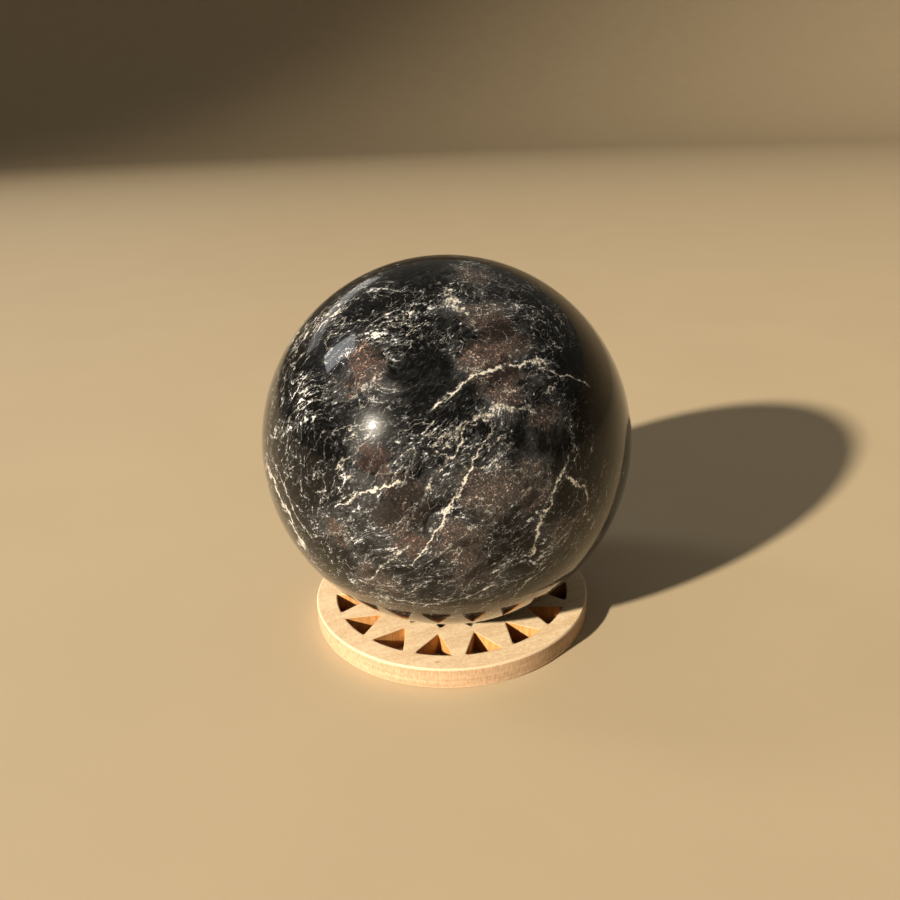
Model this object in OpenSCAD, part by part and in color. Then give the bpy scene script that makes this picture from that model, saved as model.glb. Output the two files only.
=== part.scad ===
// A polished stone ball on a flat wooden disc stand.
// The disc is one sheet of pale wood. A ring of triangular openings points at its middle, and a
// star-shaped opening in the middle holds the ball on the ends of the teeth between its points.
// Millimetres, +Z up, origin at the centre of the stand's underside, front towards -Y.

/* [Ball] */
// Diameter of the stone ball
ball_d = 75; // [70:1:90]
// Clearance between the ball and the teeth that it rests on
seat_gap = 0.05; // [0.02:0.01:0.1]

/* [Stand] */
// Diameter of the wooden disc
stand_d = 60; // [56:1:62]
// Thickness of the wooden disc
stand_t = 4.5; // [4:0.5:8]
// Width that sanding takes off the disc's top and bottom edges
edge_ease = 0.3; // [0.1:0.05:0.6]

/* [Openings] */
// Number of triangular openings, and of points on the star
points = 16; // [12:1:20]
// Angle from the front to the triangle that is nearest to it, positive anticlockwise from above
pattern_turn = -9; // [-15:0.5:15]
// Width of the solid ring outside the triangles
rim_w = 4.4; // [4.2:0.1:5.2]
// Depth of each triangle from its outer arc to its apex
triangle_depth = 7.2; // [6.8:0.1:7.6]
// Share of the pitch that a triangle's outer arc spans
triangle_share = 0.76; // [0.6:0.01:0.84]
// Width of wood between a triangle's apex and the point of the star behind it
web_w = 1.7; // [1.5:0.1:2.4]
// Full angle of each point of the star
star_point_angle = 70; // [60:1:80]
// Radius of the corners that the cutter leaves in the openings
corner_r = 0.4; // [0.2:0.05:0.5]
// Width of the blunt end of each tooth, measured along the radius that is cut off its point
tooth_blunt = 0.15; // [0.05:0.05:0.3]

/* [Hidden] */

ball_r = ball_d / 2;
stand_r = stand_d / 2;
pitch = 360 / points;

// Triangles: radius of the outer arc, radius of the apex, and half the angle of the arc
arc_r = stand_r - rim_w;
apex_r = arc_r - triangle_depth;
arc_half = triangle_share * pitch / 2;

// Star: radius of its points, and of the tips of the teeth, where two neighbouring points meet
star_r = apex_r - web_w;
star_half = star_point_angle / 2;
tooth_r = star_r * sin(star_half) / sin(star_half + pitch / 2);

// The ball rests on a circle of this radius, at the top edges of the blunt teeth
seat_r = tooth_r + tooth_blunt;
ball_z = stand_t + sqrt(ball_r * ball_r - seat_r * seat_r) + seat_gap;

// Cutting tools pass this far through both faces of the disc
overcut = 1;
round_fn = 96;

// Unit vector at an angle in the plane
function along(angle) = [cos(angle), sin(angle)];

// One triangle lies on the +X axis with its apex towards the middle.
// Angle of the side that runs from its apex to its outer corner
outer_corner = arc_r * along(arc_half);
side_angle = atan2(outer_corner[1], outer_corner[0] - apex_r);
// Centre of the corner arc at the apex
apex_centre = [apex_r + corner_r / sin(side_angle), 0];
// The outer corner's arc has its centre on a line along the side and on a circle inside the arc
side_offset = apex_centre * along(side_angle + 90);
corner_reach = arc_r - corner_r;
corner_angle = side_angle + 90 - acos(side_offset / corner_reach);
corner_centre = corner_reach * along(corner_angle);

// Rounded triangle: its straight sides, its three corner arcs, and the arc along the rim
module triangle_outline() {
    side_out = corner_r * along(side_angle + 90);
    corner_out = arc_r * along(corner_angle);
    polygon([
        apex_centre + side_out,
        corner_centre + side_out,
        corner_out,
        [corner_out[0], -corner_out[1]],
        [corner_centre[0] + side_out[0], -corner_centre[1] - side_out[1]],
        [apex_centre[0] + side_out[0], -side_out[1]]
    ]);
    translate(apex_centre) circle(r = corner_r, $fn = round_fn);
    for (side = [1, -1])
        translate([corner_centre[0], side * corner_centre[1]])
            circle(r = corner_r, $fn = round_fn);
    intersection() {
        circle(r = arc_r, $fn = round_fn);
        polygon([
            corner_centre,
            2 * corner_centre,
            [2 * corner_centre[0], -2 * corner_centre[1]],
            [corner_centre[0], -corner_centre[1]]
        ]);
    }
}

// One point of the star, on the +X axis, with a rounded tip
module star_point_outline() {
    tip_centre = [star_r - corner_r / sin(star_half), 0];
    flank = corner_r * along(90 - star_half);
    // The flanks run inwards until they meet the round opening in the middle
    reach = (star_r - tooth_r * cos(pitch / 2)) / cos(star_half);
    base = [star_r, 0] - reach * along(-star_half);
    polygon([
        tip_centre + flank,
        base,
        [tooth_r / 2, 0],
        [base[0], -base[1]],
        [tip_centre[0] + flank[0], -flank[1]]
    ]);
    translate(tip_centre) circle(r = corner_r, $fn = round_fn);
}

// Polished ball of dark stone
module stone_ball() {
    color("#2e2a28")
        translate([0, 0, ball_z])
            sphere(r = ball_r, $fn = 180);
}

// Disc of pale wood with eased edges, cut through by the triangles and the star
module wooden_stand() {
    color("#e4c08a")
        difference() {
            rotate_extrude($fn = 180)
                polygon([
                    [0, 0],
                    [stand_r - edge_ease, 0],
                    [stand_r, edge_ease],
                    [stand_r, stand_t - edge_ease],
                    [stand_r - edge_ease, stand_t],
                    [0, stand_t]
                ]);
            translate([0, 0, -overcut])
                linear_extrude(stand_t + 2 * overcut)
                    rotate(pattern_turn - 90) {
                        circle(r = seat_r, $fn = 180);
                        for (i = [0 : points - 1])
                            rotate(i * pitch) {
                                triangle_outline();
                                star_point_outline();
                            }
                    }
        }
}

stone_ball();
wooden_stand();
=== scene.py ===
import math

import bmesh
import bpy
from mathutils import Matrix, Vector


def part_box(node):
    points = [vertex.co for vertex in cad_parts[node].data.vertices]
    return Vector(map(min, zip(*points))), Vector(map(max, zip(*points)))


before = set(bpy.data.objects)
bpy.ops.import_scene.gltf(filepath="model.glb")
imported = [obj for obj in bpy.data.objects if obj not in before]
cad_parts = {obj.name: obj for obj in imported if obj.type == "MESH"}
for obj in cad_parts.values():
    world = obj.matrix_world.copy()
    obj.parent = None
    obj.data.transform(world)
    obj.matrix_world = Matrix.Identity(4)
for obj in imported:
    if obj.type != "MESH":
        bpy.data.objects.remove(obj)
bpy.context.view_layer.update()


# ---------------------------------------------------------------------------------------------
# Wooden stand. One flat disc of pale, fine-pored wood, sawn or laser-cut from a sheet and sanded
# by hand on its faces and outer edge. The cut walls of its openings are browned by the cutter.
# ---------------------------------------------------------------------------------------------

class Value:
    """A socket of a material's node tree. Arithmetic on it adds Math nodes."""

    def __init__(self, shader, socket):
        self.shader = shader
        self.socket = socket

    def math(self, operation, *others):
        return self.shader.node("ShaderNodeMath", {"operation": operation}, [self, *others])

    def __add__(self, other):
        return self.math("ADD", other)

    def __radd__(self, other):
        return self.math("ADD", other)

    def __sub__(self, other):
        return self.math("SUBTRACT", other)

    def __rsub__(self, other):
        return self.shader.node("ShaderNodeMath", {"operation": "SUBTRACT"}, [other, self])

    def __mul__(self, other):
        return self.math("MULTIPLY", other)

    def __rmul__(self, other):
        return self.math("MULTIPLY", other)

    def __abs__(self):
        return self.math("ABSOLUTE")


class Shader:
    """A new material, with one method that adds any node to it."""

    def __init__(self, name):
        self.material = bpy.data.materials.new(name)
        self.material.use_nodes = True
        self.tree = self.material.node_tree
        self.tree.nodes.clear()

    def node(self, kind, settings=None, inputs=(), output=0):
        """Adds a node, sets its settings, then its inputs by name, number or order."""
        node = self.tree.nodes.new(kind)
        for name, setting in (settings or {}).items():
            setattr(node, name, setting)
        pairs = inputs.items() if isinstance(inputs, dict) else enumerate(inputs)
        for key, given in pairs:
            if isinstance(given, Value):
                self.tree.links.new(given.socket, node.inputs[key])
            else:
                node.inputs[key].default_value = given
        return Value(self, node.outputs[output])

    def step(self, value, low, high):
        """0 below low, 1 above high, smooth between. low may be the larger of the two."""
        return self.node("ShaderNodeMapRange", {"interpolation_type": "SMOOTHSTEP"},
                         {"Value": value, "From Min": low, "From Max": high})

    def mix(self, share, first, second):
        """Colour first where share is 0, second where it is 1."""
        inputs = {0: share}
        for key, colour in ((6, first), (7, second)):
            inputs[key] = colour if isinstance(colour, Value) else (*colour, 1)
        return self.node("ShaderNodeMix", {"data_type": "RGBA"}, inputs, output=2)

    def vector(self, operation, first, second, output=0):
        return self.node("ShaderNodeVectorMath", {"operation": operation}, [first, second], output)

    def noise(self, place, scale, detail=4.0, roughness=0.5, output=0):
        """Fractal noise, mostly 0.3 to 0.7. scale is in features per millimetre."""
        return self.node("ShaderNodeTexNoise", {},
                         {"Vector": place, "Scale": scale, "Detail": detail, "Roughness": roughness},
                         output)

    def cells(self, place, scale, output):
        """Voronoi cells: output 0 is the distance to the nearest centre, 1 a colour for each."""
        return self.node("ShaderNodeTexVoronoi", {}, {"Vector": place, "Scale": scale}, output)

    def place(self, centre=(0, 0, 0), turn=(0, 0, 0), stretch=(1, 1, 1)):
        """Object coordinates in millimetres about a centre, turned and then stretched."""
        at = self.node("ShaderNodeTexCoord", output=3)
        at = self.vector("SUBTRACT", at, centre)
        return self.stretched(at, turn, [1000 * share for share in stretch])

    def stretched(self, place, turn, stretch):
        """A place turned about the middle and then stretched, so that a pattern on it runs long."""
        turned = self.node("ShaderNodeMapping", {"vector_type": "POINT"},
                           {"Vector": place, "Rotation": turn})
        return self.vector("MULTIPLY", turned, stretch)

    def finish(self, bump=None, **sockets):
        """Joins the colour and gloss to the surface, with an optional bump in millimetres."""
        inputs = {name.replace("_", " "): given for name, given in sockets.items()}
        if bump is not None:
            inputs["Normal"] = self.node("ShaderNodeBump", {},
                                         {"Strength": 1.0, "Distance": 0.001, "Height": bump})
        surface = self.node("ShaderNodeBsdfPrincipled", {}, inputs)
        output = self.tree.nodes.new("ShaderNodeOutputMaterial")
        self.tree.links.new(surface.socket, output.inputs["Surface"])
        return self.material


stand_low, stand_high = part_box("wooden_stand")
stand_r_mm = (stand_high.x - stand_low.x) * 500
stand_top_mm = stand_high.z * 1000

# The openings, as they are cut: the triangles' arc and apex, and the star's points, in mm. They
# only place the scorch marks, since the shape comes from the frame.
triangle_count = 16
pattern_turn = math.radians(-99)
arc_r = 25.6
apex_r = 18.4
star_r = 16.7
arc_half = math.radians(0.76 * 180 / triangle_count)
side_angle = math.atan2(arc_r * math.sin(arc_half), arc_r * math.cos(arc_half) - apex_r)
star_half = math.radians(35)


def wood():
    s = Shader("pale_wood")
    at = s.place()
    split = s.node("ShaderNodeSeparateXYZ", {}, [at]).socket.node
    x, y, z = [Value(s, output) for output in split.outputs]

    # Distance from the nearest opening's edge: all the openings are folded onto one half of one
    out = (x * x + y * y).math("SQRT")
    pitch = 2 * math.pi / triangle_count
    turned = y.math("ARCTAN2", x) - pattern_turn
    folded = abs(turned.math("WRAP", pitch / 2, -pitch / 2))
    fold_x = out * folded.math("COSINE")
    fold_y = out * folded.math("SINE")
    to_side = fold_y * math.cos(side_angle) - (fold_x - apex_r) * math.sin(side_angle)
    to_triangle = to_side.math("MAXIMUM", out - arc_r)
    to_star = (fold_x - star_r) * math.sin(star_half) + fold_y * math.cos(star_half)
    edge = to_triangle.math("MINIMUM", to_star)

    # The faces, the outer edge, and what is left, the cut walls of the openings
    level = s.step(z, stand_top_mm - 0.08, stand_top_mm - 0.02)
    level = level.math("MAXIMUM", s.step(z, 0.08, 0.02))
    outer = s.step(out, stand_r_mm - 1.2, stand_r_mm - 0.8)
    cut = (1 - level) * (1 - outer)
    outer = outer * (1 - level)

    # Growth rings and fibres run 24 degrees off the X axis, mottled and with a few dark pores
    turn = (0, 0, math.radians(-24))
    rings = s.noise(s.place(turn=turn, stretch=(0.06, 1, 0.5)), 0.30, 4, 0.55)
    fibres = s.noise(s.place(turn=turn, stretch=(0.22, 1, 1)), 2.8, 3, 0.7)
    mottle = s.noise(at, 1.5, 4, 0.7)
    pores_at = s.place(turn=turn, stretch=(0.4, 1, 1))
    pick = s.node("ShaderNodeSeparateColor", {}, {"Color": s.cells(pores_at, 0.9, 1)})
    pore = s.step(pick, 0.965, 0.99) * s.step(s.cells(pores_at, 0.9, 0), 0.26, 0.14)

    tone = rings * 0.5 + fibres * 0.4 + mottle * 0.5 - 0.2
    face = s.mix(s.step(tone, 0.36, 0.64), (0.68, 0.47, 0.27), (0.84, 0.66, 0.43))
    face = s.mix(pore * 0.6, face, (0.34, 0.18, 0.08))
    # The outer edge shows the layers of the grain, cut end-on, with short upright flecks
    flecks = s.noise(s.vector("MULTIPLY", at, (1, 1, 0.35)), 2.6, 3, 0.7)
    layers = s.noise(s.vector("MULTIPLY", at, (0.03, 0.03, 1)), 1.3, 3, 0.6)
    edge_tone = s.step(flecks * 0.6 + layers * 0.4, 0.38, 0.62)
    edge_face = s.mix(edge_tone, (0.38, 0.235, 0.13), (0.53, 0.36, 0.22))
    # The cut walls are browned by the cutter and streaked upright; their darkening low down is
    # painted shade inside the openings
    streaks = s.noise(s.vector("MULTIPLY", at, (1, 1, 0.10)), 2.2, 2, 0.6)
    wall = s.mix(s.step(streaks, 0.30, 0.70), (0.42, 0.19, 0.05), (0.57, 0.30, 0.10))
    # Painted shade: the walls darken towards the bottom of each opening
    wall = s.mix(s.step(z, 3.2, 0.0) * 0.7, wall, (0.20, 0.085, 0.025))
    colour = s.mix(outer, face, edge_face)
    colour = s.mix(cut, colour, wall)
    # Sanding leaves the arrises a little paler, and scorch creeps over the faces from each cut
    arris = s.step(abs(z - stand_top_mm / 2), stand_top_mm / 2 - 0.5, stand_top_mm / 2 - 0.15)
    arris = arris * s.step(out, stand_r_mm - 0.5, stand_r_mm - 0.25)
    colour = s.mix(arris * 0.45, colour, (0.86, 0.70, 0.48))
    scorch = s.step(edge, 0.26, 0.0) * level * s.step(mottle, 0.36, 0.6)
    colour = s.mix(scorch * 0.35, colour, (0.52, 0.29, 0.11))

    soft = s.step(edge, 0.16, 0.0) * level
    height = fibres * 0.03 + mottle * 0.03 - pore * 0.05 - soft * 0.05
    height = height + (1 - level) * flecks * 0.06
    return s.finish(bump=height, Base_Color=colour, Roughness=0.60 + mottle * 0.12)


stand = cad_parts["wooden_stand"]
stand.data.materials.clear()
stand.data.materials.append(wood())


# ---------------------------------------------------------------------------------------------
# Stone ball. One solid ball of black, fine-grained stone with garnet patches, grey quartz around
# them and white veins, ground round and polished to a mirror. It only rests on the stand.
# ---------------------------------------------------------------------------------------------

ball_low, ball_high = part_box("stone_ball")
ball_centre = (ball_low + ball_high) / 2
ball_r_mm = (ball_high.z - ball_low.z) * 500

# The pattern is laid out as the ball shows from the front, seen from this far above level and from
# this many radii away. A place on it is given as shares of its outline's radius to the right and up
# from the middle.
seen_from = math.radians(21.7)
seen_away = 4.44


def on_ball(across, up):
    """The point of the ball's surface that shows at that place, in mm from the ball's centre."""
    spread = 1 / math.sqrt(seen_away * seen_away - 1)
    ray = Vector((across * spread, 1, up * spread))
    square = ray.length_squared
    gap = math.sqrt(max(0.0, seen_away ** 2 - square * (seen_away ** 2 - 1)))
    point = Vector((0, -seen_away, 0)) + ray * ((seen_away - gap) / square)
    return Matrix.Rotation(-seen_from, 3, "X") @ point * ball_r_mm


# Each vein is a thin sheet of white mineral through the stone, which shows as a wavy line. Three
# places that it passes, its width in mm, its strength, and how far it reaches, in mm.
VEINS = [
    ((0.13, 0.07), (0.00, -0.10), (-0.11, -0.28), 0.40, 1.7, 10),
    ((0.14, -0.13), (0.03, -0.32), (-0.20, -0.66), 0.36, 2.5, 14),
    ((-0.04, 0.19), (0.19, 0.35), (0.57, 0.38), 0.34, 2.0, 13),
    ((0.52, 0.36), (0.65, 0.32), (0.77, 0.27), 0.35, 1.8, 7),
    ((0.03, 0.02), (0.17, 0.10), (0.50, 0.13), 0.40, 1.6, 10),
    ((0.62, -0.23), (0.55, -0.36), (0.44, -0.64), 0.40, 2.0, 10),
    ((0.62, -0.23), (0.70, -0.28), (0.76, -0.35), 0.40, 2.2, 5),
    ((0.76, -0.35), (0.62, -0.54), (0.29, -0.90), 0.40, 1.5, 15),
    ((0.00, 0.82), (0.05, 0.73), (0.11, 0.68), 0.40, 1.8, 5),
    ((-0.31, -0.85), (-0.02, -0.88), (0.19, -0.82), 0.35, 1.5, 12),
    ((-0.54, -0.31), (-0.42, -0.26), (-0.27, -0.22), 0.40, 2.2, 7),
    ((-0.52, -0.78), (-0.31, -0.63), (-0.21, -0.54), 0.40, 1.8, 9),
    ((-0.97, -0.14), (-0.89, -0.33), (-0.80, -0.53), 0.45, 2.2, 11),
    ((-0.94, -0.04), (-0.86, -0.30), (-0.72, -0.56), 0.40, 1.6, 10),
]
# Seams are wider bands of pale strands, given in the same way.
SEAMS = [
    ((-0.88, 0.53), (-0.69, 0.65), (-0.46, 0.77), 3.4, 3.1, 12),
    ((-0.63, 0.41), (-0.35, 0.60), (-0.10, 0.72), 2.6, 2.4, 13),
    ((-0.86, 0.26), (-0.74, 0.25), (-0.70, 0.36), 1.6, 2.2, 5),
    ((-0.95, 0.05), (-0.80, 0.10), (-0.66, 0.18), 1.6, 1.9, 9),
    ((-0.10, 0.00), (0.12, 0.12), (0.46, 0.20), 2.4, 0.35, 13),
    ((0.04, -0.02), (0.04, -0.20), (-0.10, -0.60), 2.6, 0.35, 15),
    ((-0.60, -0.34), (-0.59, -0.28), (-0.58, -0.22), 1.2, 2.6, 3),
]
# Patches of garnet: place, radius in mm, and how red they are.
PATCHES = [
    ((0.22, 0.66), 4.0, 0.2), ((0.31, 0.54), 5.0, 0.6), ((0.25, 0.42), 5.0, 0.8),
    ((0.30, 0.30), 4.4, 0.5), ((-0.44, 0.44), 2.6, 1.0), ((-0.47, 0.30), 2.4, 0.9),
    ((-0.36, 0.35), 2.2, 0.6), ((-0.36, -0.10), 3.0, 1.0), ((-0.25, -0.26), 4.0, 0.4),
    ((-0.28, -0.42), 4.0, 0.5), ((-0.22, -0.55), 2.4, 1.0), ((0.24, -0.30), 5.2, 0.3),
    ((0.44, -0.26), 4.6, 0.2), ((0.06, -0.56), 5.0, 0.3), ((0.12, -0.72), 4.4, 0.2),
    ((-0.38, -0.76), 4.2, 0.4), ((-0.61, -0.48), 2.0, 0.8), ((0.54, 0.10), 2.2, 0.5),
    ((0.20, 0.89), 3.5, 0.2), ((0.62, -0.52), 3.0, 0.1),
]
# Where the stone is plain and black: place, and radius in mm.
PLAIN = [((0.90, 0.25), 17), ((0.52, -0.02), 7), ((-0.10, 0.30), 7), ((-0.10, 0.92), 8)]


def stone():
    s = Shader("polished_stone")
    at = s.place(ball_centre)

    def moved(place, scale, detail, roughness, size):
        """A place pushed about by noise of a scale, by up to about a third of size in mm."""
        push = s.vector("SUBTRACT", s.noise(at, scale, detail, roughness, 1), (0.5, 0.5, 0.5))
        return s.vector("ADD", place, s.vector("MULTIPLY", push, (size, size, size)))

    def sheet(places):
        """Distance in mm from a wavy sheet through three places, and from the middle of them."""
        a, b, c = [on_ball(*place) for place in places]
        normal = (b - a).cross(c - a).normalized()
        gap = abs(s.vector("DOT_PRODUCT", waved, normal, output=1) - normal.dot(b))
        return gap, s.vector("DISTANCE", at, (a + b + c) / 3, output=1)

    # The stone is layered. The layers rise to the right and swirl; strands run along them
    swirl = moved(at, 0.045, 2, 0.5, 18)
    waved = moved(at, 0.20, 7, 0.66, 4.0)
    crinkled = moved(swirl, 0.45, 3, 0.65, 1.6)
    tilt = (0, math.radians(32), 0)
    layers = s.stretched(swirl, tilt, (0.35, 0.7, 1))
    fine = s.noise(s.stretched(swirl, tilt, (0.17, 0.7, 1)), 3.4, 2, 0.8)
    long = s.noise(s.stretched(crinkled, tilt, (0.16, 0.6, 1)), 0.9, 4, 0.6)
    cloud = s.noise(layers, 0.22, 4, 0.6)
    grain = s.noise(at, 3.0, 2, 0.8)

    def lines(turn, scale, width):
        """Thin crinkled lines that run along the layers, turned about the Y axis."""
        along = s.stretched(crinkled, (0, math.radians(turn), 0), (0.12, 0.6, 1))
        return s.step(abs(s.noise(along, scale, 1, 0.5) - 0.5), width, 0)

    # Garnet patches: near any of the listed places, with ragged edges and a grey halo
    ragged = (s.noise(at, 0.26, 6, 0.68) - 0.5) * 15
    depth = None
    red = None
    for place, radius, redness in PATCHES:
        gap = radius - s.vector("DISTANCE", at, on_ball(*place), output=1)
        reddish = s.step(gap + ragged, -0.5, 1.5) * redness
        depth = gap if depth is None else depth.math("MAXIMUM", gap)
        red = reddish if red is None else red.math("MAXIMUM", reddish)
    depth = depth + ragged
    # Round the back the patches come from noise
    behind = s.step(s.vector("DOT_PRODUCT", at, on_ball(0, 0), output=1), 60, -260)
    wild = (s.noise(s.vector("ADD", swirl, (31, 7, 12)), 0.050, 2, 0.4) - 0.52) * 75
    depth = depth.math("MAXIMUM", (wild + ragged) * behind - (1 - behind) * 30)
    red = red.math("MAXIMUM", s.step(wild + ragged, 1, 6) * behind * 0.6)
    patch = s.step(depth, -0.4, 0.6)
    halo = s.step(depth, -5.5, 0.5) * s.step(cloud, 0.36, 0.56)

    plain = None
    for place, radius in PLAIN:
        gap = s.vector("DISTANCE", at, on_ball(*place), output=1) + ragged * 0.6
        here = s.step(gap, radius, radius * 0.5)
        plain = here if plain is None else plain.math("MAXIMUM", here)
    plain = plain * (1 - patch)

    # Thin lines all round: along the layers, close in some bands, and fewer that cross them
    rising = lines(26, 0.38, 0.038).math("MAXIMUM", lines(38, 0.90, 0.065) * 0.8)
    steep = lines(64, 0.42, 0.036).math("MAXIMUM", lines(-10, 0.50, 0.032) * 0.7)
    band = s.step(s.noise(layers, 0.26, 3, 0.6), 0.38, 0.54)
    broken = s.step(s.noise(at, 0.9, 3, 0.7), 0.32, 0.62)
    line = (rising * (0.25 + band * 0.75)).math("MAXIMUM", steep * (1 - band * 0.6)) * broken

    # White veins and seams of strands, first the listed ones
    vein = None
    for *places, width, strength, reach in VEINS:
        gap, near = sheet(places)
        sharp = s.step(gap, width, 0) + s.step(gap, width * 5, 0) * 0.15
        sharp = sharp * s.step(near, reach, reach * 0.75) * (broken * 0.5 + 0.7) * strength
        vein = sharp if vein is None else vein.math("MAXIMUM", sharp)
    seam = None
    for *places, width, strength, reach in SEAMS:
        gap, near = sheet(places)
        wide = s.step(gap, width, 0) * s.step(near, reach, reach * 0.5) * strength
        seam = wide if seam is None else seam.math("MAXIMUM", wide)
    # Hair veins all round, and wilder veins and seams round the back
    hair = abs(s.noise(s.stretched(waved, tilt, (0.3, 0.8, 1)), 0.22, 3, 0.5) - 0.5)
    hair = s.step(hair, 0.013, 0) * s.step(cloud, 0.36, 0.54) * 2.0
    climb = (0, math.radians(58), 0)
    cross = abs(s.noise(s.stretched(waved, climb, (0.25, 0.8, 1)), 0.26, 2, 0.5) - 0.5)
    hair = hair.math("MAXIMUM", s.step(cross, 0.012, 0) * s.step(cloud, 0.60, 0.44) * 1.8)
    wild_vein = abs(s.noise(s.vector("ADD", waved, (5, 50, 9)), 0.035, 3, 0.45) - 0.5)
    wild_vein = s.step(wild_vein, 0.008, 0) * behind * (1.0 + broken * 1.7)
    wild_seam = s.step(s.noise(s.vector("ADD", layers, (9, 3, 40)), 0.16, 2, 0.5), 0.52, 0.66)
    seam = seam.math("MAXIMUM", wild_seam * behind * 2.6)
    vein = vein.math("MAXIMUM", hair * (1 - plain * 0.6)).math("MAXIMUM", wild_vein)

    # How pale the stone is, as a logarithm: patterns of all sizes multiply each other's contrast
    calm = (1 - patch * 0.5) * (1 - plain * 0.4)
    pale = ((fine - 0.5) * 9.5 + (long - 0.5) * 8 + line * 4.4) * calm
    pale = pale + (grain - 0.5) * (8 + patch * 7) + (cloud - 0.5) * 6
    pale = pale + halo * (1 - patch) * 1.0 + patch * 0.75 - plain * 0.8
    pale = pale + vein * 0.5 + seam * (line * 0.9 + 0.6) - 6.5
    pale = pale.math("MAXIMUM", vein * 2.2 + (fine - 0.5) * 6 + broken * 0.5 - 6.2)
    # Each kind of stone has its own tint
    garnet = s.mix(red * s.step(grain, 0.36, 0.58), (1.17, 1.02, 0.94), (1.55, 1.0, 0.82))
    tint = s.mix(patch * s.step(vein, 1.2, 0.4), (1.0, 1.01, 1.03), garnet)
    tint = s.mix(s.step(vein + seam * 0.6, 0.8, 2.0), tint, (1.0, 0.94, 0.82))
    # Quartz and garnet are never quite black: light comes back from inside them
    depths = (halo * s.step(cloud, 0.30, 0.62) * 0.024 + patch * 0.006) * (0.4 + grain * 1.2)
    bright = (pale.math("EXPONENT") + depths).math("MINIMUM", 0.52)
    colour = s.vector("MULTIPLY", tint, bright)

    return s.finish(bump=pale * 0.001, Base_Color=colour, Roughness=0.22,
                    Specular_IOR_Level=0.05, Coat_Weight=1.0, Coat_Roughness=0.03, Coat_IOR=1.25)


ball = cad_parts["stone_ball"]
ball.data.materials.clear()
ball.data.materials.append(stone())


# ---------------------------------------------------------------------------------------------
# Studio. A plain pale floor that curves up far away, a low key light from the left and front, and
# soft fill light from all round.
# ---------------------------------------------------------------------------------------------

floor_reach = 3.0
cove_r = 1.5


def floor_mesh():
    """A round floor whose outer edge sweeps up into a wall."""
    shape = bmesh.new()
    profile = [shape.verts.new((0, 0, 0)), shape.verts.new((floor_reach, 0, 0))]
    for i in range(1, 9):
        angle = math.radians(90) * i / 8
        profile.append(shape.verts.new((floor_reach + cove_r * math.sin(angle), 0,
                                        cove_r * (1 - math.cos(angle)))))
    edges = [shape.edges.new(pair) for pair in zip(profile, profile[1:])]
    bmesh.ops.spin(shape, geom=profile + edges, cent=(0, 0, 0), axis=(0, 0, 1),
                   angle=2 * math.pi, steps=48, use_merge=True)
    bmesh.ops.remove_doubles(shape, verts=shape.verts, dist=1e-5)
    bmesh.ops.recalc_face_normals(shape, faces=shape.faces)
    mesh = bpy.data.meshes.new("floor")
    for face in shape.faces:
        face.smooth = True
    shape.to_mesh(mesh)
    shape.free()
    return mesh


floor_paint = Shader("floor_paint")
floor_tone = floor_paint.noise(floor_paint.place(), 0.02, 3, 0.5)
floor = bpy.data.objects.new("floor", floor_mesh())
bpy.context.scene.collection.objects.link(floor)
floor.data.materials.append(floor_paint.finish(
    Base_Color=floor_paint.mix(floor_tone, (0.44, 0.345, 0.218), (0.48, 0.38, 0.242)),
    Roughness=0.55))


def area_light(name, direction, distance, size, power, colour):
    """A soft light, as wide and as high as size says, that shines at the ball."""
    light = bpy.data.objects.new(name, bpy.data.lights.new(name, "AREA"))
    light.data.shape = "RECTANGLE"
    light.data.size, light.data.size_y = size
    light.data.energy = power
    light.data.color = colour
    light.visible_camera = False
    light.location = ball_centre + Vector(direction).normalized() * distance
    light.rotation_euler = Vector(direction).to_track_quat("Z", "Y").to_euler()
    bpy.context.scene.collection.objects.link(light)
    return light


key = area_light("key", (-0.68, -0.61, 0.41), 10.0, (0.44, 0.44), 84, (1.0, 0.89, 0.73))
key.data.shape = "ELLIPSE"
key.data.spread = math.radians(34)
area_light("window", (-0.9, 0.25, 0.75), 2.0, (0.42, 0.6), 5.5, (0.97, 0.98, 1.0))
area_light("strip", (-0.55, 0.75, 0.40), 2.2, (1.4, 0.3), 1.6, (1.0, 0.97, 0.92))
fill = area_light("fill", (0.1, -0.15, 1.0), 2.6, (2.4, 2.4), 4.0, (0.95, 0.97, 1.0))
fill.visible_glossy = False

world = bpy.data.worlds.new("studio")
world.use_nodes = True
world.node_tree.nodes["Background"].inputs["Color"].default_value = (1.0, 0.91, 0.76, 1)
world.node_tree.nodes["Background"].inputs["Strength"].default_value = 0.13
bpy.context.scene.world = world


# ---------------------------------------------------------------------------------------------
# Camera. It stands close in front of the object, 33 degrees above the stand, looks a little above
# the ball's middle and is held slightly tilted.
# ---------------------------------------------------------------------------------------------

camera_distance = 0.1847
camera_up = math.radians(33.13)
look_down = math.radians(22.37)
look_right = math.radians(0.22)
roll = math.radians(-1.8)

camera = bpy.data.objects.new("camera", bpy.data.cameras.new("camera"))
camera.data.sensor_width = 36
camera.data.lens = 32
camera.data.clip_start = 0.01
camera.location = (0, -camera_distance * math.cos(camera_up), camera_distance * math.sin(camera_up))
camera.rotation_euler = (Matrix.Rotation(-look_right, 3, "Z")
                         @ Matrix.Rotation(math.radians(90) - look_down, 3, "X")
                         @ Matrix.Rotation(roll, 3, "Z")).to_euler()
bpy.context.scene.collection.objects.link(camera)
bpy.context.scene.camera = camera
bpy.context.scene.view_settings.view_transform = "Standard"
